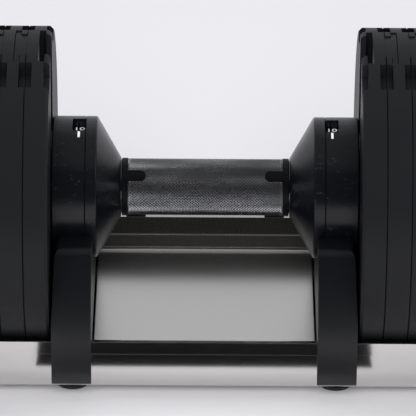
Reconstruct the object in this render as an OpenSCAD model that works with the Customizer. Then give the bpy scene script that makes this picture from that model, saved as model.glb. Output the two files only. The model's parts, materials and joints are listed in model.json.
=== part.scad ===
// Adjustable dumbbell standing in its cradle.
// X runs along the handle, -Y is the front, Z is up, z = 0 is the ground.

/* [Handle] */
// Outer diameter of the knurled grip
grip_d = 32; // [30:0.5:36]
// Length of the knurled part of the grip
grip_len = 86.6; // [84:0.2:110]
// Width of the smooth ring at each end of the grip
ring_w = 3.9; // [3:0.1:6]
// Length of each tab that lies on the knurl
tab_len = 10; // [6:0.5:14]
// Width of each tab
tab_w = 6.2; // [4:0.1:8]
// Thickness of each tab over the knurl
tab_t = 1; // [0.6:0.1:1.6]
// Angle of the first tab from the top, towards the front
tab_angle = 39.8; // [0:0.1:119]

/* [Collars] */
// Outer diameter of the collars
collar_d = 79.2; // [72:0.2:96]
// Length of the conical part
cone_len = 12.8; // [8:0.1:20]
// Length of the straight part of the cone cap
cap_len = 6.8; // [6.5:0.1:10]
// Length of the housing
housing_len = 18.6; // [18:0.1:26]
// Wall of the housing
housing_wall = 4.7; // [4.4:0.1:6]
// Height of the step from grip to cone
cone_lip = 0.4; // [0.2:0.1:1.5]
// Half of the angle that the weight window opens
window_angle = 10.6; // [8:0.1:13]
// Width of the weight window along the handle
window_w = 7.4; // [5:0.1:8]

/* [Plates] */
// Diameter of the plates
plate_d = 180; // [150:1:220]
// Thickness of each plate
plate_t = 13.2; // [10.5:0.1:13.4]
// Gap between neighbouring plates
plate_gap = 0.3; // [0.2:0.05:0.5]
// Chamfer around each plate
plate_edge = 0.4; // [0.2:0.1:1]
// Width of the turned grooves in the outermost face
ring_groove = 1.2; // [0.6:0.1:2]
// Chamfer on the inner edge of the first plate
first_edge = 1.7; // [0.5:0.1:2.5]
// Depth of the rim pockets in each face
pocket_depth = 3.4; // [2.5:0.1:4]
// Nearest and farthest edge of the pockets from the middle plane
pocket_from = 20.1; // [20:0.1:24]
// Far edge of the pockets
pocket_to = 38; // [30:0.5:44]
// How far the pockets reach in from the rim
pocket_in = 8; // [5:0.5:12]

/* [T joint between plates] */
// Half width of the groove's head
head_y = 19.1; // [15:0.1:19.3]
// Half width of the groove's neck
neck_y = 12.3; // [11:0.1:14]
// Depth of the neck
neck_depth = 3.1; // [2.5:0.1:3.5]
// Depth of the head behind the neck
head_depth = 3.5; // [3:0.1:4]

/* [Selector] */
// Diameter of the pair of lock bars
bar_d = 19.6; // [14:0.1:22]
// Outer diameter of the core tube
core_d = 24; // [18:0.1:24.4]
// Wall of the cam sleeve
sleeve_wall = 1.8; // [1.5:0.1:2]
// Diameter of the follower pins
pin_d = 5.6; // [4:0.1:6]
// Turn of the grip from one weight to the next
step_angle = 40; // [30:1:40]
// Thickness of the dial wheel's rim
dial_rim = 5; // [4.5:0.1:6]
// Thickness of the dial wheel's web
dial_web = 2.4; // [2:0.1:3]
// Thickness of the end blocks
block_t = 7; // [6.5:0.1:9]
// Lip of the housing over the end block
lip_t = 1.4; // [1:0.1:2.5]
// Diameter of the detent balls
ball_d = 4; // [3:0.1:4]
// Travel of the detent balls
ball_travel = 0.8; // [0.5:0.1:1]
// Travel of the lock buttons
button_travel = 3; // [2:0.1:3.4]
// Width of the lock buttons
button_w = 8; // [6:0.1:10]

/* [Cradle] */
// Outer width of the tray at its walls
tray_w = 145; // [143:1:190]
// Sheet thickness of the tray
sheet = 1.5; // [1:0.1:2.5]
// Height of the tray's rim above the ground
rim_z = 38.7; // [34:0.1:44]
// Radius of the tray's lower corners
corner_r = 18; // [14:0.5:18]
// Height of the folded hem
hem_h = 7.7; // [5:0.1:10]
// Thickness of the folded hem
hem_t = 1.2; // [0.8:0.1:2]
// Room between the last plate and the end cap
end_room = 4.1; // [4:0.1:20]
// Thickness of the end caps
cap_t = 4; // [3:0.1:6]
// How far the end caps stand out around the tray
cap_lip = 2; // [1:0.1:2.4]
// Height of the feet
foot_h = 2.5; // [2.5:0.1:8]
// Diameter of the feet
foot_d = 21; // [16:0.5:26]
// Distance of the feet from the middle plane
foot_y = 50.5; // [40:0.5:50.5]
// Width of a saddle along the handle
saddle_w = 22; // [16:0.1:23]
// Thickness of the saddle outside the hem
saddle_wall = 2.3; // [1.5:0.1:4]
// Height of the underside of the saddle's bridge
bridge_z = 29.5; // [26:0.1:31]
// Lower end of the saddle's outer lobes
lobe_z = 12; // [8:0.5:16]
// Height where the saddle's front face starts to lean in
shoulder_z = 50; // [46:0.5:58]
// Radius of the tip of each saddle arm
tip_r = 7; // [4:0.5:9]
// Distance of the arm tips below the handle axis
tip_drop = 10.5; // [6:0.5:20]
// Radius of the saddle's upper corner on the plate side
saddle_corner = 4; // [2:0.5:9]
// How much narrower a saddle is at its top
saddle_taper = 1.6; // [0.5:0.1:4]
// Height of the liner's polished floor between the saddles
liner_z = 17.5; // [17.5:0.5:21]
// Height of the liner's upper edges
liner_top = 27.5; // [25:0.5:34]
// Sheet thickness of the liner
liner_t = 1; // [0.8:0.1:1.5]
// Outer bend radius of the liner
liner_bend = 3.5; // [3.5:0.5:9.5]
// Thickness of the rack below the plates
rack_floor = 2.7; // [2:0.1:5]
// Thickness of the rack's trough at its sides
rack_wall = 3.7; // [3:0.1:6]

/* [Clearances] */
// Between the plates and the rack, and between pegs and pockets
rack_gap = 0.3; // [0.2:0.05:0.6]
// Between sliding faces of the T joint
slide_gap = 0.3; // [0.2:0.05:0.5]
// Between the lock bars and the bores around them
bar_gap = 0.2; // [0.15:0.05:0.4]
// Extra room around a lock bar in a plate
plate_bore_gap = 0.5; // [0.3:0.05:0.8]
// Between turning pieces, as a radius
turn_gap = 0.4; // [0.2:0.05:0.6]
// Between the collars and the saddles
seat_gap = 0.4; // [0.3:0.05:0.8]
// Between pieces that stay put
fit_gap = 0.2; // [0.1:0.05:0.4]

/* [Hidden] */
plate_n = 7;
$fn = 96;
eps = 0.01;
big = 400;

// Heights
floor_z = foot_h + sheet;
plate_r = plate_d / 2;
axis_z = floor_z + rack_floor + rack_gap + plate_r;

// Stations along the handle, on the right side
x_knurl = grip_len / 2;
x_cone = x_knurl + ring_w;
x_rim = x_cone + cone_len;
x_split = x_rim + cap_len;
x_face = x_split + housing_len;
x_block_out = x_face - lip_t;
x_block = x_block_out - block_t;
plate_pitch = plate_t + plate_gap;
x_plates = x_face + plate_gap;
x_last = x_plates + (plate_n - 1) * plate_pitch + plate_t;

face_rings = [0.42 * plate_r, 0.62 * plate_r, plate_r - 8];

// Radii in the handle
grip_r = grip_d / 2;
core_r = core_d / 2;
bar_r = bar_d / 2;
bore_r = bar_r + bar_gap;
sleeve_in = core_r + fit_gap;
sleeve_out = sleeve_in + sleeve_wall;
collar_r = collar_d / 2;
wall_in = collar_r - housing_wall;
dial_r = wall_in - turn_gap;
dial_in = dial_r - dial_rim;
cone_r = grip_r + cone_lip;
cone_bore = sleeve_out + turn_gap;
screw_r = collar_r - housing_wall / 2;

// Selector: one click moves both bars by one plate
reach = plate_n * plate_pitch;
turn = plate_n * step_angle;
bar_end = x_face - fit_gap;
pin_out = x_block - 6.5;
pin_in = pin_out - reach;
bar_len = bar_end - pin_in + pin_d / 2 + 2;
slot_w = pin_d + 2 * bar_gap;
slot_mid = (sleeve_in + sleeve_out) / 2;
slot_lean = atan(turn * PI / 180 * slot_mid / reach);
pin_tip = sleeve_out - fit_gap;
sleeve_end = x_block - 1.5;
dial_face = x_block - 2;
core_depth = 4;
head_l = 2.4;
lip_in = wall_in - 2.4;

// Detent balls, which clear the dial wheel by crest when they are back
crest = 0.1;
detent_angle = 80;
detent_r = (dial_in + dial_r) / 2;
ball_x = dial_face + crest + ball_d / 2;
ball_bore_end = x_block_out - 1;

// Lock buttons, straight below the axis
button_angle = 180;
button_x = x_block + 0.4;
button_t = 5.2;
button_low = collar_r;
button_high = core_r + 6;
tooth_w = 6;
tooth_r = dial_in - 0.5;
tooth_h = 3.5;
spring_top = core_r + 1.5;

// Cradle
wall_y = tray_w / 2;
corner_y = wall_y - corner_r;
corner_z = foot_h + corner_r;
tray_end = x_last + end_room;
saddle_out = x_face - 0.6;
saddle_in = saddle_out - saddle_w;
saddle_y = wall_y + hem_t + saddle_wall;
seat_r = collar_r + seat_gap;
tip_z = axis_z - tip_drop - tip_r;
tip_y = seat_r + 11;
saddle_top = tip_z + tip_r + eps;
foot_x = (saddle_in + saddle_out) / 2;
outer_foot_x = x_last - 15;
rack_r = plate_r + rack_gap;
rack_y = wall_y - sheet - 0.6;
rack_top = rim_z - 2.7;
leg_half = min(saddle_w / 5, corner_y - foot_y);
leg_h = 14;
liner_end = saddle_in - 0.5;
liner_y = wall_y - sheet;
peg_t = 2 * pocket_depth + plate_gap - 2 * rack_gap;

// Fasteners
foot_hole_d = 4.4;
foot_head_d = 7;
foot_screw_d = 3.8;
foot_screw_len = 14;
foot_sink = 0.8;
foot_hex = 3;
pilot_d = 4;
cap_screw_z = 14;
cap_screw_d = 3;
cap_head_d = 6;
cap_sink = 1.6;
nut_t = 2.4;
collar_head_d = 3.6;
collar_screw_d = 1.9;
collar_screw_gap = 2.5;

// Rounded rim and slope of the cone
rim_round = 1.5;
cone_slope = atan2(collar_r - cone_r, cone_len);
cone_skin = 2.8;

// Angle at which the saddle's front face touches the rounded tip of its arm
tip_dy = saddle_y - tip_y;
tip_dz = shoulder_z - tip_z;
tip_angle = atan2(tip_dz, tip_dy) + acos(tip_r / norm([tip_dy, tip_dz]));

// ---- placing ----

// Local z along +X, local x to the top, local y to the front
module on_axis() translate([0, 0, axis_z]) rotate([0, 90, 0]) rotate([0, 0, 180]) children();

// A drawing in Y and Z, extruded from x0 to x1
module slab(x0, x1) translate([x0, 0, 0]) rotate([90, 0, 90]) linear_extrude(x1 - x0) children();

// The other side of the handle, as a mirror image or as the same piece turned round
module flipped() mirror([1, 0, 0]) children();
module turned() rotate([0, 0, 180]) children();

module ring(r_in, r_out, x0, x1) on_axis() translate([0, 0, x0])
    difference() {
        cylinder(r = r_out, h = x1 - x0);
        translate([0, 0, -1]) cylinder(r = r_in, h = x1 - x0 + 2);
    }

// A hole or pin along X at radius r and an angle from the top
module along(a, r, d, x0, x1) on_axis() rotate([0, 0, a]) translate([r, 0, x0]) cylinder(d = d, h = x1 - x0);

// Square centred on y = 0
module band(half_w, z0, z1) translate([-half_w, z0]) square([2 * half_w, z1 - z0]);

// Round section as seen along X
module disc(r) translate([0, axis_z]) circle(r = r);

// ---- cradle ----

// Outline of the tray, grown by g
module tray_outline(g, top) {
    band(wall_y + g, corner_z, top);
    band(corner_y, foot_h - g, top);
    for (s = [-1, 1]) translate([s * corner_y, corner_z]) circle(r = corner_r + g);
}

module tray() color("silver") difference() {
    union() {
        slab(-tray_end, tray_end) difference() {
            tray_outline(0, rim_z);
            tray_outline(-sheet, rim_z + 1);
        }
        for (s = [-1, 1]) translate([-tray_end, s > 0 ? wall_y : -wall_y - hem_t, rim_z - hem_h])
            cube([2 * tray_end, hem_t, hem_h]);
    }
    foot_places() translate([0, 0, -1]) cylinder(d = foot_hole_d, h = floor_z + 2);
}

// Outline of the liner's U, grown inwards by g
module liner_outline(g) {
    bend = liner_bend - g;
    base = liner_z - liner_t;
    band(liner_y - g, base + liner_bend, liner_top + g);
    band(liner_y - liner_bend, base + g, liner_top + g);
    for (s = [-1, 1]) translate([s * (liner_y - liner_bend), base + liner_bend]) circle(r = bend);
}

module centre_liner() color("silver") slab(-liner_end, liner_end) difference() {
    liner_outline(0);
    liner_outline(liner_t);
}

module foot_places() for (sx = [-1, 1], sy = [-1, 1], x = [foot_x, outer_foot_x])
    translate([sx * x, sy * foot_y, 0]) children();

module rubber_feet() color([0.05, 0.05, 0.05]) foot_places() difference() {
    union() {
        cylinder(d1 = foot_d - 2, d2 = foot_d, h = 1);
        translate([0, 0, 1]) cylinder(d = foot_d, h = foot_h - 1);
    }
    translate([0, 0, -1]) cylinder(d = foot_head_d + 2 * fit_gap, h = foot_h + 2);
}

module foot_screws() color("silver") foot_places() difference() {
    union() {
        translate([0, 0, foot_sink]) cylinder(d = foot_head_d, h = foot_h - foot_sink);
        translate([0, 0, foot_h - eps]) cylinder(d = foot_screw_d, h = foot_screw_len);
    }
    cylinder(d = foot_hex, h = 2 * foot_sink, $fn = 6);
}

// Points of an arc about y, z
function arc(y, z, r, a0, a1, n) = [for (i = [0:n]) let (a = a0 + (a1 - a0) * i / n)
    [y + r * cos(a), z + r * sin(a)]];

// Right half of a saddle as seen along X, before its cuts
module saddle_half() polygon(concat([[-eps, foot_h]],
    arc(corner_y, corner_z, saddle_y - corner_y, -90, 0, 10), [[saddle_y, shoulder_z]],
    arc(tip_y, tip_z, tip_r, tip_angle, 90, 8), [[-eps, tip_z + tip_r]]));

module saddle_section() difference() {
    union() {
        saddle_half();
        mirror([1, 0]) saddle_half();
    }
    disc(seat_r);
    band(big, -big, lobe_z);
    difference() {
        union() {
            tray_outline(fit_gap, rim_z);
            band(wall_y + hem_t + fit_gap, rim_z - hem_h - fit_gap, rim_z);
        }
        band(wall_y - sheet - fit_gap, bridge_z, rim_z);
    }
}

module saddle_right() color([0.06, 0.06, 0.07]) difference() {
    union() {
        intersection() {
            slab(saddle_in, saddle_out) saddle_section();
            translate([0, big, 0]) rotate([90, 0, 0]) linear_extrude(2 * big)
                polygon(concat([[saddle_in, 0], [saddle_out, 0], [saddle_out, shoulder_z]],
                    arc(saddle_out - saddle_taper - saddle_corner, saddle_top - saddle_corner,
                        saddle_corner, 0, 90, 8),
                    [[saddle_in, saddle_top]]));
        }
        for (s = [-1, 1]) translate([foot_x, s * foot_y, floor_z])
            cylinder(r = leg_half, h = bridge_z - floor_z + 1);
    }
    for (s = [-1, 1]) translate([foot_x, s * foot_y, 0])
        cylinder(d = pilot_d, h = foot_h + foot_screw_len + 1);
}

module rack_section() difference() {
    union() {
        intersection() {
            disc(rack_r + rack_wall);
            band(rack_y, floor_z, rack_top);
        }
        for (s = [-1, 1]) translate([s * foot_y - leg_half, floor_z]) square([2 * leg_half, leg_h]);
    }
    disc(rack_r);
}

module peg_section() intersection() {
    difference() {
        disc(rack_r + 1);
        disc(plate_r - pocket_in + 2 * rack_gap);
    }
    for (s = [-1, 1]) translate([s > 0 ? pocket_from + rack_gap : -pocket_to + rack_gap, 0])
        square([pocket_to - pocket_from - 2 * rack_gap, axis_z]);
}

module rack_right() color([0.06, 0.06, 0.07]) difference() {
    union() {
        slab(x_face - 0.3, x_last + 0.3) rack_section();
        for (n = [0:plate_n - 1]) {
            seam = x_plates + n * plate_pitch - plate_gap / 2;
            slab(seam - peg_t / 2, seam + peg_t / 2) peg_section();
        }
        slab(x_plates - plate_gap / 2 - peg_t / 2, x_face) intersection() {
            rack_section();
            band(pocket_to - rack_gap, 0, axis_z);
        }
    }
    for (s = [-1, 1]) translate([outer_foot_x, s * foot_y, 0])
        cylinder(d = pilot_d, h = foot_h + foot_screw_len + 1);
}

module cap_screw_places() for (s = [-1, 1])
    translate([0, s * (foot_y - 8), cap_screw_z]) rotate([0, 90, 0]) children();

module end_cap_right() color([0.06, 0.06, 0.07]) difference() {
    union() {
        slab(tray_end, tray_end + cap_t - 1) cap_outline(0);
        slab(tray_end + cap_t - 1 - eps, tray_end + cap_t) cap_outline(-0.8);
        slab(tray_end - 3, tray_end + eps) difference() {
            tray_outline(-sheet - fit_gap, rim_z - 1);
            tray_outline(-sheet - fit_gap - 2.5, rim_z);
        }
    }
    cap_screw_places() translate([0, 0, tray_end + cap_t - cap_sink])
        cylinder(d = cap_head_d + 2 * fit_gap, h = 5);
    cap_screw_places() translate([0, 0, tray_end - 1]) cylinder(d = cap_screw_d + fit_gap, h = cap_t + 5);
}

module cap_outline(g) {
    tray_outline(cap_lip + g, rim_z + cap_lip + g);
    band(wall_y + hem_t + cap_lip + g, rim_z - hem_h - cap_lip - g, rim_z + cap_lip + g);
}

// Screws that fasten each end cap to the brackets inside the tray
module cap_screws() color("silver") for (s = [1, -1]) rotate([0, 0, s > 0 ? 0 : 180]) cap_screw_places() {
    translate([0, 0, tray_end + cap_t - cap_sink]) cylinder(d = cap_head_d, h = cap_sink - 0.4);
    translate([0, 0, tray_end - nut_t - 0.1]) cylinder(d = cap_screw_d, h = cap_t + 1);
    translate([0, 0, tray_end - nut_t - 0.1]) cylinder(d = cap_head_d, h = nut_t, $fn = 6);
}

// ---- plates ----

module d_section(r, side, gap) intersection() {
    disc(r);
    translate([side > 0 ? -gap : gap - big, 0]) square([big, big]);
}

module pockets_section() difference() {
    for (sy = [0, 1], sz = [0, 1]) translate([0, axis_z]) mirror([sy, 0]) mirror([0, sz])
        translate([pocket_from, 0]) square([pocket_to - pocket_from, plate_r + 1]);
    disc(plate_r - pocket_in);
}

module tongue(x0, r_max) {
    head = neck_depth + slide_gap + plate_gap;
    slab(x0 - eps, x0 + head + eps) intersection() {
        disc(r_max);
        band(neck_y - slide_gap, 0, big);
    }
    slab(x0 + head, x0 + head + head_depth - 2 * slide_gap) intersection() {
        disc(r_max);
        band(head_y - slide_gap, 0, big);
    }
}

module plate(n) color([0.2, 0.21, 0.23]) {
    x0 = x_plates + (n - 1) * plate_pitch;
    e0 = n == 1 ? first_edge : plate_edge;
    difference() {
        union() {
            on_axis() translate([0, 0, x0]) rotate_extrude() polygon([[0, 0], [plate_r - e0, 0],
                [plate_r, e0], [plate_r, plate_t - plate_edge], [plate_r - plate_edge, plate_t], [0, plate_t]]);
            if (n < plate_n) tongue(x0 + plate_t, plate_r - 2 * plate_edge);
        }
        slab(x0 - 1, x0 + neck_depth + eps) band(neck_y, 0, big);
        slab(x0 + neck_depth, x0 + neck_depth + head_depth) band(head_y, 0, big);
        slab(x0 - 1, x0 + pocket_depth) pockets_section();
        if (n < plate_n) slab(x0 + plate_t - pocket_depth, x0 + plate_t + 1) pockets_section();
        else for (r = face_rings) ring(r - ring_groove, r, x0 + plate_t - 0.6, x0 + plate_t + 1);
        slab(x0 - 1, x0 + 2 * plate_t) d_section(bar_r + plate_bore_gap, 1, fit_gap);
    }
}

// ---- handle core ----

module core_tube() color("silver") difference() {
    ring(bore_r, core_r, -x_block - core_depth, x_block + core_depth);
    straight_slot();
    turned() straight_slot();
}

module straight_slot() {
    translate([pin_in, 0, axis_z - slot_w / 2]) cube([reach, core_d, slot_w]);
    for (x = [pin_in, pin_out]) translate([x, 0, axis_z]) rotate([-90, 0, 0])
        cylinder(d = slot_w, h = core_d);
}

module end_block(side) color([0.35, 0.36, 0.38]) difference() {
    union() {
        ring(0, wall_in, x_block, x_block_out);
        intersection() {
            tongue_block();
            ring(0, lip_in - fit_gap, x_block, x_face + plate_t);
        }
    }
    ring(0, core_r, x_block - 1, x_block + core_depth);
    slab(x_block, x_face + plate_t) d_section(bore_r, side, fit_gap);
    along(detent_angle, detent_r, ball_d + 0.3, x_block - 1, ball_bore_end);
    translate([x_block - 1, -button_w / 2 - 0.3, 0])
        cube([button_t + 2, button_w + 0.6, axis_z - spring_top]);
}

// Block face and the T tongue that the first plate hangs on
module tongue_block() {
    slab(x_block_out - eps, x_face + eps) band(neck_y - slide_gap, 0, big);
    tongue(x_face, big / 2);
}

module collar_housing() color([0.04, 0.04, 0.045]) difference() {
    on_axis() rotate_extrude() polygon([[wall_in, x_split], [collar_r - 0.4, x_split],
        [collar_r, x_split + 0.4], [collar_r, x_face - 0.8], [collar_r - 0.8, x_face], [lip_in, x_face],
        [lip_in, x_block_out], [wall_in, x_block_out]]);
    on_axis() translate([0, -collar_r * sin(window_angle), x_split - 1])
        cube([collar_d, 2 * collar_r * sin(window_angle), window_w + 1]);
    translate([button_x - 0.3, -button_w / 2 - 0.3, 0])
        cube([button_t + 0.6, button_w + 0.6, axis_z - wall_in / 2]);
    collar_screw_places() translate([0, 0, x_split - 1]) cylinder(d = collar_screw_d + 0.3, h = housing_len + 2);
    collar_screw_places() translate([0, 0, x_face - head_l])
        cylinder(d = collar_head_d + 2 * fit_gap, h = 2 * head_l);
}

module collar_screw_places() on_axis() for (a = [45:90:315]) rotate([0, 0, a])
    translate([screw_r, 0, 0]) children();

module collar_cone() color([0.04, 0.04, 0.045]) difference() {
    on_axis() rotate_extrude() polygon(concat(
        [[cone_bore, x_cone], [cone_r, x_cone]],
        [for (i = [0:5]) let (a = 90 - cone_slope * (1 - i / 5))
            [collar_r - rim_round + rim_round * sin(a), x_rim + rim_round - rim_round * cos(a)]],
        [[collar_r, x_split - 0.4], [collar_r - 0.4, x_split], [wall_in, x_split], [wall_in, x_rim + 1.5],
        [cone_bore + 3, x_cone + cone_skin], [cone_bore, x_cone + cone_skin]]));
    collar_screw_places() translate([0, 0, x_rim + collar_screw_gap - fit_gap])
        cylinder(d = collar_screw_d + 0.1, h = cap_len);
}

module collar_screws() color("silver") collar_screw_places() {
    translate([0, 0, x_face - head_l]) cylinder(d = collar_head_d, h = 2);
    translate([0, 0, x_rim + collar_screw_gap])
        cylinder(d = collar_screw_d, h = x_face - head_l - x_rim - collar_screw_gap + eps);
}

module thrust_washer() color("goldenrod")
    ring(core_r + 0.1, sleeve_out + 1.6, sleeve_end + 0.15, x_block - 0.15);

// Wire of a coil spring along z, as one swept tube
module coil(coil_r, wire_r, height, turns) {
    sides = 6;
    steps = turns * 12;
    ring_at = function (i) let (a = 360 * i / 12, z = height * i / steps)
        [for (j = [0:sides - 1]) let (b = 360 * j / sides, r = coil_r + wire_r * cos(b))
            [r * cos(a), r * sin(a), z + wire_r * sin(b)]];
    points = [for (i = [0:steps]) each ring_at(i)];
    skin = [for (i = [0:steps - 1], j = [0:sides - 1]) let (k = (j + 1) % sides)
        [i * sides + j, i * sides + k, (i + 1) * sides + k, (i + 1) * sides + j]];
    polyhedron(points, concat([[for (j = [sides - 1:-1:0]) j]], skin,
        [[for (j = [0:sides - 1]) steps * sides + j]]));
}

module button_spring() color("silver") {
    wire = 0.3;
    translate([button_x + button_t / 2, 0, axis_z - button_high + wire])
        coil(1.9, wire, button_high - spring_top - 2 * wire - 0.1, 4);
}

module detent_spring() color("silver") {
    wire = 0.2;
    x0 = ball_x + ball_d / 2 + wire + 0.1;
    on_axis() rotate([0, 0, detent_angle]) translate([detent_r, 0, x0])
        coil(1.3, wire, ball_bore_end - wire - 0.1 - x0, 4);
}

// ---- grip, which turns ----

module grip_tube() color("silver") ring(sleeve_out, grip_r, -x_knurl, x_knurl);

module grip_ring() color([0.04, 0.04, 0.045]) {
    on_axis() translate([0, 0, x_knurl]) rotate_extrude() polygon([[sleeve_out, 0], [grip_r + 0.2, 0],
        [grip_r + 0.2, ring_w - 0.8], [grip_r - 0.3, ring_w - 0.3], [sleeve_out, ring_w - 0.3]]);
    intersection() {
        ring(grip_r, grip_r + tab_t, x_knurl - tab_len - 1, x_knurl + 1);
        on_axis() for (i = [0:2]) rotate([0, 0, tab_angle + 120 * i]) {
            translate([0, -tab_w / 2, x_knurl - tab_len + tab_w / 2])
                cube([grip_d, tab_w, tab_len - tab_w / 2 + 1]);
            translate([0, 0, x_knurl - tab_len + tab_w / 2]) rotate([0, 90, 0])
                cylinder(d = tab_w, h = grip_d);
        }
    }
}

module cam_sleeve() color([0.55, 0.56, 0.58]) difference() {
    ring(sleeve_in, sleeve_out, -sleeve_end, sleeve_end);
    cam_slot();
    // The left bar's slot: the same path mirrored along the handle, half a turn further round
    translate([0, 0, 2 * axis_z]) rotate([180, 0, 0]) flipped() cam_slot();
}

// Slot that pulls the right bar out as the grip turns
module cam_slot() on_axis() rotate([0, 0, 270]) {
    translate([0, 0, pin_in]) linear_extrude(reach, twist = turn, slices = ceil(turn / 5), $fn = 8)
        translate([core_r - 1, -slot_w / cos(slot_lean) / 2]) square([sleeve_wall + 4, slot_w / cos(slot_lean)]);
    for (end = [0, 1]) rotate([0, 0, -end * turn]) translate([core_r - 1, 0, pin_in + end * reach])
        rotate([0, 90, 0]) cylinder(d = slot_w, h = sleeve_wall + 4);
}

module dial_wheel() color([0.04, 0.04, 0.045]) difference() {
    union() {
        ring(sleeve_out, sleeve_out + 3, x_split + 0.3, x_split + 5);
        ring(sleeve_out, dial_r, x_split + 0.3, x_split + 0.3 + dial_web);
        ring(dial_in, dial_r, x_split + 0.3, dial_face);
    }
    for (k = [0:round(360 / step_angle) - 1]) {
        on_axis() rotate([0, 0, button_angle - k * step_angle])
            translate([dial_in - 3, -tooth_w / 2 - 0.4, x_split + 0.3 + dial_web])
            cube([3 + button_travel + 0.1, tooth_w + 0.8, 20]);
        on_axis() rotate([0, 0, detent_angle - k * step_angle])
            translate([detent_r, 0, ball_x - ball_travel]) sphere(r = ball_d / 2 + 0.15);
    }
}

// ---- locks ----

module lock_bar() color([0.7, 0.71, 0.73]) difference() {
    slab(bar_end - bar_len, bar_end) d_section(bar_r, 1, -fit_gap / 2);
    translate([pin_in, 0, axis_z]) rotate([-90, 0, 0]) cylinder(d = pin_d, h = core_d);
}

module follower_pin() color("silver")
    translate([pin_in, fit_gap / 2, axis_z]) rotate([-90, 0, 0]) cylinder(d = pin_d, h = pin_tip - 2 * fit_gap);

module lock_button() color([0.1, 0.1, 0.11]) {
    translate([button_x, -button_w / 2, axis_z - button_low])
        cube([button_t, button_w, button_low - button_high]);
    translate([x_split + dial_web + 1, -tooth_w / 2, axis_z - tooth_r])
        cube([button_x - x_split - dial_web, tooth_w, tooth_h]);
}

module detent_ball() color("silver") on_axis() rotate([0, 0, detent_angle]) translate([detent_r, 0, ball_x])
    sphere(d = ball_d);

// ---- assembly ----

tray();
centre_liner();
flipped() saddle_right();  // saddle_left
saddle_right();
flipped() rack_right();  // rack_left
rack_right();
flipped() end_cap_right();  // end_cap_left
end_cap_right();
rubber_feet();
foot_screws();
cap_screws();
core_tube();
flipped() end_block(-1);  // end_block_left
end_block(1);  // end_block_right
flipped() collar_housing();  // collar_housing_left
collar_housing();  // collar_housing_right
flipped() collar_cone();  // collar_cone_left
collar_cone();  // collar_cone_right
flipped() collar_screws();  // collar_screws_left
collar_screws();  // collar_screws_right
flipped() thrust_washer();  // thrust_washer_left
thrust_washer();  // thrust_washer_right
flipped() button_spring();  // button_spring_left
button_spring();  // button_spring_right
flipped() detent_spring();  // detent_spring_left
detent_spring();  // detent_spring_right
grip_tube();
flipped() grip_ring();  // grip_ring_left
grip_ring();  // grip_ring_right
cam_sleeve();
flipped() dial_wheel();  // dial_wheel_left
dial_wheel();  // dial_wheel_right
turned() lock_bar();  // lock_bar_left
lock_bar();  // lock_bar_right
turned() follower_pin();  // follower_pin_left
follower_pin();  // follower_pin_right
flipped() lock_button();  // lock_button_left
lock_button();  // lock_button_right
flipped() detent_ball();  // detent_ball_left
detent_ball();  // detent_ball_right
for (n = [1:plate_n]) {
    turned() plate(n);
    plate(n);
}
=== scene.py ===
import bpy
import json
from math import radians, cos, sin, pi
from mathutils import Matrix, Vector


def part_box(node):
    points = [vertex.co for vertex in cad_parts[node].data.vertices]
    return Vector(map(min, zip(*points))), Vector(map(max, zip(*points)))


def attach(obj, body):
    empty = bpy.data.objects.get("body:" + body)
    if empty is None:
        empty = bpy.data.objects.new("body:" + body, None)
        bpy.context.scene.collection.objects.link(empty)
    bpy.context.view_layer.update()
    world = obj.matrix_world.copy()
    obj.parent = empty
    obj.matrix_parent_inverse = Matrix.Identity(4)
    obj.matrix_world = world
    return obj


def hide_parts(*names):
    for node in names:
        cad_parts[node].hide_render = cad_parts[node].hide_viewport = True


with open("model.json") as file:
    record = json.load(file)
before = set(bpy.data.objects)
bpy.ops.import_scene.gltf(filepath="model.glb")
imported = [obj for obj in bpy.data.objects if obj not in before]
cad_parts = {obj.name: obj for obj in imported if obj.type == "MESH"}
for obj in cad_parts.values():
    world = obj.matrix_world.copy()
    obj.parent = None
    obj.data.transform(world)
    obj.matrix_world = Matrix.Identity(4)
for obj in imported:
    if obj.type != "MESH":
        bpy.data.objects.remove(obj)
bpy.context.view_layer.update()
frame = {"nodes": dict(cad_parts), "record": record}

nodes = frame["nodes"]
sides = {"left": -1, "right": 1}
print("frame loaded:", len(nodes), "nodes")

# places that several pieces share, all read from the frame
gripLow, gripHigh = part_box("grip_tube")
axisZ = (gripLow.z + gripHigh.z) / 2
gripRadius = (gripHigh.z - gripLow.z) / 2
housingLow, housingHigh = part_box("collar_housing_right")
housingRadius = (housingHigh.z - housingLow.z) / 2
dialLow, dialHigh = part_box("dial_wheel_right")
dialRadius = (dialHigh.z - dialLow.z) / 2
axisCentre = Vector((0, 0, axisZ))
windowHalf = 0.0037
windowX = housingLow.x + windowHalf
slotOf = {part["node"]: part["material_slot"] for part in frame["record"]["subparts"]}


# ---- camera and room ----

cameraStyle = {
    "elevation": 28.6, "distance": 2.5, "lens": 385,
    "right": 0.0016, "down": 0.0118, "roll": 0.35,
}


def addCamera(style):
    tilt = radians(style["elevation"])
    turn = Matrix.Rotation(pi / 2 - tilt, 3, "X") @ Matrix.Rotation(radians(style["roll"]), 3, "Z")
    away = Vector((0, -cos(tilt), sin(tilt)))
    up = Vector((0, sin(tilt), cos(tilt)))
    place = axisCentre + away * style["distance"] + Vector((1, 0, 0)) * style["right"] - up * style["down"]
    data = bpy.data.cameras.new("camera")
    data.lens = style["lens"]
    data.clip_start = 0.05
    camera = bpy.data.objects.new("camera", data)
    camera.matrix_world = Matrix.Translation(place) @ turn.to_4x4()
    bpy.context.scene.collection.objects.link(camera)
    bpy.context.scene.camera = camera


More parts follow.
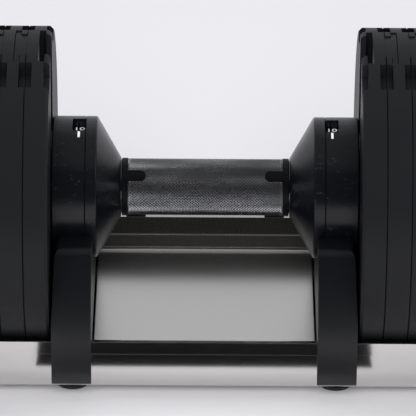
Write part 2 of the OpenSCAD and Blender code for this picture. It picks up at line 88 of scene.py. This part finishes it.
lightStyle = {
    "world": (0.80, 0.81, 0.84), "worldPower": 0.66,
    "lights": {
        "top": {"size": 1.6, "power": 14, "place": (0.0, 0.3, 1.9), "aim": (0, 0, 0.1), "shiny": 0.0},
        "side": {"size": 0.9, "power": 3, "place": (1.9, -0.4, 1.0), "aim": (0, 0, 0.1), "shiny": 1.0},
        "front": {"size": 1.2, "power": 30, "place": (0, -1.7, 1.2), "aim": (0, -0.25, 0), "shiny": 0.0},
    },
    "flags": {
        "studioFlag": {"size": (7, 3.6), "place": (0, -1.5, 1.8), "tilt": 90, "shade": 0.02},
        "ceilingFlag": {"size": (6, 3.0), "place": (0, 0.1, 2.3), "tilt": 0, "shade": 0.3},
        # painted shade: a dark patch on the floor just in front of the tray that only shows in the tray's
        # reflections
        "floorShadeFlag": {"size": (0.19, 0.05), "place": (0, -0.133, 0.0005), "tilt": 0, "shade": 0.01},
    },
}


def addSoftLight(name, style):
    data = bpy.data.lights.new(name, "AREA")
    data.size = style["size"]
    data.energy = style["power"]
    data.color = (1.0, 0.99, 0.975)
    data.specular_factor = style["shiny"]
    light = bpy.data.objects.new(name, data)
    aim = Vector(style["aim"]) - Vector(style["place"])
    turn = aim.to_track_quat("-Z", "Y").to_matrix().to_4x4()
    light.matrix_world = Matrix.Translation(style["place"]) @ turn
    light.visible_glossy = style["shiny"] > 0
    bpy.context.scene.collection.objects.link(light)


def addFlag(name, style):
    # a board of even brightness that only shows in reflections, as in a product studio
    tilt = radians(style["tilt"])
    bpy.ops.mesh.primitive_plane_add(size=1, location=style["place"], rotation=(tilt, 0, 0))
    flag = bpy.context.object
    flag.name = name
    flag.scale = (*style["size"], 1)
    for ray in ("camera", "diffuse", "shadow", "transmission", "volume_scatter"):
        setattr(flag, "visible_" + ray, False)
    material, _, shader = newMaterial(name, (0, 0, 0), 1.0)
    shader.inputs["Specular IOR Level"].default_value = 0
    shader.inputs["Emission Color"].default_value = (1, 1, 1, 1)
    shader.inputs["Emission Strength"].default_value = style["shade"]
    flag.data.materials.append(material)


def addRoom(style):
    world = bpy.data.worlds.new("studio")
    world.use_nodes = True
    world.node_tree.nodes["Background"].inputs["Color"].default_value = (*style["world"], 1)
    world.node_tree.nodes["Background"].inputs["Strength"].default_value = style["worldPower"]
    bpy.context.scene.world = world
    for name, light in style["lights"].items():
        addSoftLight(name + "Light", light)
    for name, flag in style["flags"].items():
        addFlag(name, flag)
    bpy.context.scene.view_settings.view_transform = "Standard"
    bpy.ops.mesh.primitive_plane_add(size=12, location=(0, 0, 0))
    floor = bpy.context.object
    floor.name = "floor"
    floor.data.materials.append(paleFloor())


# ---- materials ----

def newMaterial(name, color, roughness, metallic=0.0, coat=0.0):
    material = bpy.data.materials.new(name)
    material.use_nodes = True
    shader = material.node_tree.nodes["Principled BSDF"]
    shader.inputs["Base Color"].default_value = (*color, 1)
    shader.inputs["Roughness"].default_value = roughness
    shader.inputs["Metallic"].default_value = metallic
    shader.inputs["Coat Weight"].default_value = coat
    return material, material.node_tree, shader


def addNode(tree, kind, **values):
    node = tree.nodes.new(kind)
    for key, value in values.items():
        if key in node.inputs:
            node.inputs[key].default_value = value
        else:
            setattr(node, key, value)
    return node


def objectCoords(tree, scale=(1, 1, 1)):
    coords = tree.nodes.new("ShaderNodeTexCoord")
    mapping = tree.nodes.new("ShaderNodeMapping")
    mapping.inputs["Scale"].default_value = scale
    tree.links.new(coords.outputs["Object"], mapping.inputs["Vector"])
    return mapping.outputs["Vector"]


def noise(tree, scale, detail=2.0, stretch=(1, 1, 1)):
    node = addNode(tree, "ShaderNodeTexNoise", Scale=scale, Detail=detail)
    tree.links.new(objectCoords(tree, stretch), node.inputs["Vector"])
    return node.outputs["Fac"]


def ramp(tree, source, low, high, start=0.0, end=1.0):
    node = addNode(tree, "ShaderNodeMapRange")
    node.inputs["From Min"].default_value = start
    node.inputs["From Max"].default_value = end
    node.inputs["To Min"].default_value = low
    node.inputs["To Max"].default_value = high
    tree.links.new(source, node.inputs["Value"])
    return node.outputs["Result"]


def blendColors(tree, factor, first, second):
    node = addNode(tree, "ShaderNodeMix", data_type="RGBA")
    node.inputs[6].default_value = (*first, 1)
    node.inputs[7].default_value = (*second, 1)
    tree.links.new(factor, node.inputs[0])
    return node.outputs[2]


def addBump(tree, shader, height, strength, distance):
    node = addNode(tree, "ShaderNodeBump", Strength=strength, Distance=distance)
    tree.links.new(height, node.inputs["Height"])
    tree.links.new(node.outputs["Normal"], shader.inputs["Normal"])


def paleFloor():
    material, _, shader = newMaterial("paleFloor", (0.79, 0.785, 0.81), 0.75)
    shader.inputs["Specular IOR Level"].default_value = 0.2
    return material


def powderCoat():
    material, tree, shader = newMaterial("powderCoat", (0.012, 0.013, 0.016), 0.45)
    shader.inputs["Specular IOR Level"].default_value = 0.15
    grain = noise(tree, 1500, 3)
    cloud = noise(tree, 22, 4)
    tree.links.new(blendColors(tree, cloud, (0.0075, 0.008, 0.0095), (0.0125, 0.013, 0.0145)),
                   shader.inputs["Base Color"])
    tree.links.new(ramp(tree, cloud, 0.38, 0.52), shader.inputs["Roughness"])
    addBump(tree, shader, grain, 0.35, 0.00012)
    return material


def scratches(tree, stretch, scale):
    lines = noise(tree, scale, 2, stretch)
    return ramp(tree, lines, 0.0, 1.0, 0.66, 0.72)


def glossBlack():
    material, tree, shader = newMaterial("glossBlack", (0.0035, 0.004, 0.005), 0.26)
    shader.inputs["Specular IOR Level"].default_value = 0.38
    wear = noise(tree, 60, 5)
    marks = scratches(tree, (1, 6, 0.6), 260)
    tree.links.new(blendColors(tree, marks, (0.0035, 0.004, 0.0055), (0.02, 0.022, 0.026)),
                   shader.inputs["Base Color"])
    tree.links.new(ramp(tree, wear, 0.2, 0.38), shader.inputs["Roughness"])
    addBump(tree, shader, noise(tree, 700, 2), 0.12, 0.00005)
    return material


def satinBlack():
    material, tree, shader = newMaterial("satinBlack", (0.0035, 0.004, 0.0055), 0.4)
    wear = noise(tree, 45, 5)
    tree.links.new(ramp(tree, wear, 0.32, 0.46), shader.inputs["Roughness"])
    addBump(tree, shader, noise(tree, 1800, 2), 0.2, 0.00006)
    return material


def mirrorSteel():
    material, tree, shader = newMaterial("mirrorSteel", (0.66, 0.645, 0.63), 0.08, metallic=1.0)
    streaks = noise(tree, 40, 6, (0.05, 1, 1))
    tree.links.new(ramp(tree, streaks, 0.05, 0.15), shader.inputs["Roughness"])
    addBump(tree, shader, noise(tree, 9, 1, (0.3, 1, 1)), 0.1, 0.0008)
    return material


def linerSteel():
    material, tree, shader = newMaterial("linerSteel", (0.8, 0.78, 0.765), 0.24, metallic=1.0)
    cloud = noise(tree, 14, 2, (0.5, 1, 1))
    tree.links.new(ramp(tree, cloud, 0.19, 0.3), shader.inputs["Roughness"])
    tree.links.new(blendColors(tree, cloud, (0.76, 0.745, 0.735), (0.84, 0.82, 0.8)),
                   shader.inputs["Base Color"])
    addBump(tree, shader, noise(tree, 9, 1, (0.3, 1, 1)), 0.1, 0.0008)
    return material


def knurlSteel():
    material, tree, shader = newMaterial("knurlSteel", (0.4, 0.4, 0.42), 0.25, metallic=1.0)
    grime = noise(tree, 38, 4, (0.6, 1, 1))
    # painted shade and highlight: pointiness paints the valleys between the diamonds dark and the diamond
    # tops bright; the bright tops also stand for wear
    shape = addNode(tree, "ShaderNodeNewGeometry")
    litTipsShadedValleys = ramp(tree, shape.outputs["Pointiness"], 0, 1, 0.47, 0.53)
    # diamond top colour, partly wear and partly painted highlight, varied at random
    worn = blendColors(tree, ramp(tree, grime, 0, 1, 0.35, 0.65), (0.55, 0.555, 0.57), (0.85, 0.86, 0.88))
    node = addNode(tree, "ShaderNodeMix", data_type="RGBA")
    # painted shade: the dark colour given to the valleys between the diamonds
    node.inputs[6].default_value = (0.07, 0.07, 0.075, 1)
    tree.links.new(litTipsShadedValleys, node.inputs[0])
    tree.links.new(worn, node.inputs[7])
    tree.links.new(node.outputs[2], shader.inputs["Base Color"])
    tree.links.new(ramp(tree, grime, 0.34, 0.2), shader.inputs["Roughness"])
    return material


def turnedSteel(name, color, roughness):
    material, tree, shader = newMaterial(name, color, roughness, metallic=1.0)
    lathe = noise(tree, 900, 2, (1, 0.03, 0.03))
    tree.links.new(ramp(tree, lathe, roughness - 0.08, roughness + 0.1), shader.inputs["Roughness"])
    addBump(tree, shader, lathe, 0.1, 0.00004)
    return material


def ringBlack():
    material, tree, shader = newMaterial("ringBlack", (0.002, 0.0022, 0.0028), 0.5)
    shader.inputs["Specular IOR Level"].default_value = 0.2
    addBump(tree, shader, noise(tree, 1500, 2), 0.2, 0.00006)
    return material


def footRubber():
    material, tree, shader = newMaterial("footRubber", (0.012, 0.012, 0.012), 0.7)
    dust = noise(tree, 90, 4)
    tree.links.new(ramp(tree, dust, 0.6, 0.85), shader.inputs["Roughness"])
    addBump(tree, shader, noise(tree, 900, 2), 0.3, 0.0001)
    return material


def whitePaint():
    material, tree, shader = newMaterial("whitePaint", (0.78, 0.79, 0.8), 0.5)
    worn = noise(tree, 500, 3)
    patches = ramp(tree, worn, 0, 1, 0.3, 0.5)
    tree.links.new(blendColors(tree, patches, (0.5, 0.51, 0.52), (0.82, 0.83, 0.84)),
                   shader.inputs["Base Color"])
    return material


finishes = {}


def makeFinishes():
    finishes.update({
        "tray_steel": mirrorSteel(), "cradle_plastic": satinBlack(), "foot_rubber": footRubber(),
        "bright_steel": turnedSteel("brightSteel", (0.62, 0.63, 0.65), 0.24),
        "bar_steel": turnedSteel("barSteel", (0.45, 0.46, 0.48), 0.32),
        "bronze": turnedSteel("bronze", (0.55, 0.38, 0.16), 0.35), "grip_steel": knurlSteel(),
        "collar_plastic": glossBlack(), "dial_plastic": satinBlack(), "plate_coat": powderCoat(),
        "white": whitePaint(), "liner": linerSteel(), "ring": ringBlack(),
    })
    for name, node in nodes.items():
        for place in node.material_slots:
            place.material = finishes[slotOf[name]]
    print("finishes made:", len(finishes))


# ---- modelling helpers ----

def deselectAll():
    if bpy.context.mode != "OBJECT":
        bpy.ops.object.mode_set(mode="OBJECT")
    bpy.ops.object.select_all(action="DESELECT")


def makeActive(piece):
    deselectAll()
    piece.select_set(True)
    bpy.context.view_layer.objects.active = piece


def settle(piece):
    # puts the place of the piece into its mesh
    makeActive(piece)
    bpy.ops.object.transform_apply(location=True, rotation=True, scale=True)


def finishPiece(piece, name, finish, body):
    settle(piece)
    piece.name = name
    piece.data.materials.clear()
    piece.data.materials.append(finishes[finish])
    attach(piece, body)
    return piece


def selectEdges(piece, test):
    # object mode: marks only the edges whose two ends pass the test, for edge select mode
    bpy.context.tool_settings.mesh_select_mode = (False, True, False)
    mesh = piece.data
    for part in (mesh.vertices, mesh.edges, mesh.polygons):
        for item in part:
            item.select = False
    for edge in mesh.edges:
        a, b = (mesh.vertices[i].co for i in edge.vertices)
        edge.select = test(a, b)


# ---- knurled grip ----

knurlStyle = {"around": 56, "along": 48, "rise": 0.0006, "bore": 0.875}


def knurledGrip(style):
    deselectAll()
    length = gripHigh.x - gripLow.x
    bpy.ops.mesh.primitive_cylinder_add(vertices=style["around"], radius=gripRadius - style["rise"],
                                        depth=length, end_fill_type="NOTHING", location=axisCentre,
                                        rotation=(0, pi / 2, 0))
    grip = bpy.context.object
    settle(grip)
    selectEdges(grip, lambda a, b: abs(a.x - b.x) > length / 2)
    bpy.ops.object.mode_set(mode="EDIT")
    bpy.ops.mesh.subdivide(number_cuts=style["along"] - 1)
    bpy.ops.mesh.select_all(action="SELECT")
    bpy.ops.mesh.poke()
    # the triangles of neighbouring squares join into diamonds
    bpy.ops.mesh.tris_convert_to_quads(face_threshold=radians(40), shape_threshold=radians(40))
    bpy.ops.mesh.poke(offset=style["rise"])
    bpy.ops.mesh.select_all(action="DESELECT")
    bpy.ops.mesh.select_non_manifold(extend=False)
    bpy.ops.mesh.extrude_edges_move()
    bpy.ops.transform.resize(value=(1, style["bore"], style["bore"]), center_override=axisCentre)
    bpy.ops.mesh.bridge_edge_loops()
    bpy.ops.mesh.select_all(action="SELECT")
    bpy.ops.mesh.normals_make_consistent(inside=False)
    bpy.ops.object.mode_set(mode="OBJECT")
    finishPiece(grip, "knurledGrip", "grip_steel", "grip")
    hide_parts("grip_tube")
    print("grip knurled:", len(grip.data.polygons), "faces")


# ---- softened copies of moulded and sheet pieces ----

softRule = {"segments": 2, "sharp": 30, "smooth": 35, "flat": 1.0, "merge": 0.000002}


def softenedCopy(node, width, rule=softRule):
    # the same shape with every sharp edge rounded a little
    source = nodes[node]
    deselectAll()
    copy = source.copy()
    copy.data = source.data.copy()
    copy.parent = None
    copy.matrix_world = Matrix.Identity(4)
    bpy.context.scene.collection.objects.link(copy)
    makeActive(copy)
    bpy.ops.object.mode_set(mode="EDIT")
    bpy.ops.mesh.select_all(action="SELECT")
    bpy.ops.mesh.remove_doubles(threshold=rule["merge"])
    bpy.ops.mesh.dissolve_limited(angle_limit=radians(rule["flat"]))
    bpy.ops.object.mode_set(mode="OBJECT")
    bevel = copy.modifiers.new("soften", "BEVEL")
    bevel.width = width
    bevel.segments = rule["segments"]
    bevel.limit_method = "ANGLE"
    bevel.angle_limit = radians(rule["sharp"])
    bevel.use_clamp_overlap = True
    bevel.harden_normals = False
    bpy.ops.object.modifier_apply(modifier=bevel.name)
    bpy.ops.object.shade_smooth_by_angle(angle=radians(rule["smooth"]))
    # large flat faces keep their own normals beside the rounded edges
    weighted = copy.modifiers.new("weighted", "WEIGHTED_NORMAL")
    weighted.keep_sharp = True
    bpy.ops.object.modifier_apply(modifier=weighted.name)
    return copy


softStyle = {
    "saddle_left": {"width": 0.0007, "body": "cradle"},
    "saddle_right": {"width": 0.0007, "body": "cradle"},
    "end_cap_left": {"width": 0.0009, "body": "cradle"},
    "end_cap_right": {"width": 0.0009, "body": "cradle"},
    "tray": {"width": 0.0003, "body": "cradle"},
    "centre_liner": {"width": 0.00025, "body": "cradle", "finish": "liner"},
    "grip_ring_left": {"width": 0.00025, "body": "grip", "finish": "ring"},
    "grip_ring_right": {"width": 0.00025, "body": "grip", "finish": "ring"},
}


def softenPieces(style):
    for node, own in style.items():
        slot = slotOf[node]
        copy = softenedCopy(node, own["width"])
        piece = finishPiece(copy, node + "_soft", own.get("finish", slot), own["body"])
        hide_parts(node)
        print("softened:", node, len(piece.data.polygons), "faces")


# ---- dial numbers and pointer marks ----

numberStyle = {
    "size": 0.0063, "bold": 0.00006, "thick": 0.00009, "proud": 0.00004,
    "window": -6.5, "step": 40, "first": 10, "count": 8,
}


def wheelNumber(text, side, angle, style):
    # one number on the drum, turned by angle from the top towards the front
    deselectAll()
    bpy.ops.object.text_add()
    label = bpy.context.object
    label.data.body = text
    label.data.size = style["size"]
    label.data.align_x = "CENTER"
    label.data.align_y = "CENTER"
    label.data.extrude = style["thick"]
    label.data.offset = style["bold"]
    bpy.ops.object.convert(target="MESH")
    label = bpy.context.object
    out = dialRadius + style["proud"] - style["thick"]
    turn = Matrix.Rotation(radians(angle), 4, "X")
    label.matrix_world = (Matrix.Translation((side * windowX, 0, axisZ)) @ turn
                          @ Matrix.Translation((0, 0, out)))
    settle(label)
    return label


def dialNumbers(style):
    for name, side in sides.items():
        labels = [wheelNumber(str(style["first"] + 10 * k), side, style["window"] - style["step"] * k,
                              style) for k in range(style["count"])]
        makeActive(labels[0])
        for label in labels:
            label.select_set(True)
        bpy.ops.object.join()
        finishPiece(labels[0], "dialNumbers_" + name, "white", "grip")
    print("dial numbers placed")


pointerStyle = {
    "from": 11.2, "to": 18.2, "width": 0.0013,
    "proud": 0.00006, "deep": 0.0003, "steps": 6,
}


def pointerMark(name, side, style):
    # a narrow painted bar that follows the housing, in front of the window
    deselectAll()
    bpy.ops.mesh.primitive_plane_add(size=1)
    mark = bpy.context.object
    first = radians(style["from"])
    sweep = radians(style["to"] - style["from"])
    low, high = housingRadius - style["deep"], housingRadius + style["proud"]
    mark.scale = (style["width"], high - low, 1)
    mark.rotation_euler = (pi / 2, 0, 0)
    mark.location = (side * windowX, 0, axisZ + (low + high) / 2)
    settle(mark)
    bpy.ops.object.mode_set(mode="EDIT")
    bpy.ops.mesh.select_all(action="SELECT")
    bpy.ops.transform.rotate(value=-first, orient_axis="X", center_override=axisCentre)
    bpy.ops.mesh.spin(steps=style["steps"], angle=-sweep, center=axisCentre, axis=(1, 0, 0))
    bpy.ops.mesh.select_all(action="SELECT")
    bpy.ops.mesh.normals_make_consistent(inside=False)
    bpy.ops.object.mode_set(mode="OBJECT")
    return finishPiece(mark, "pointerMark_" + name, "white", "dumbbell")


# ---- build ----

makeFinishes()
addCamera(cameraStyle)
addRoom(lightStyle)
knurledGrip(knurlStyle)
softenPieces(softStyle)
dialNumbers(numberStyle)
for name, side in sides.items():
    pointerMark(name, side, pointerStyle)
print("marks placed")
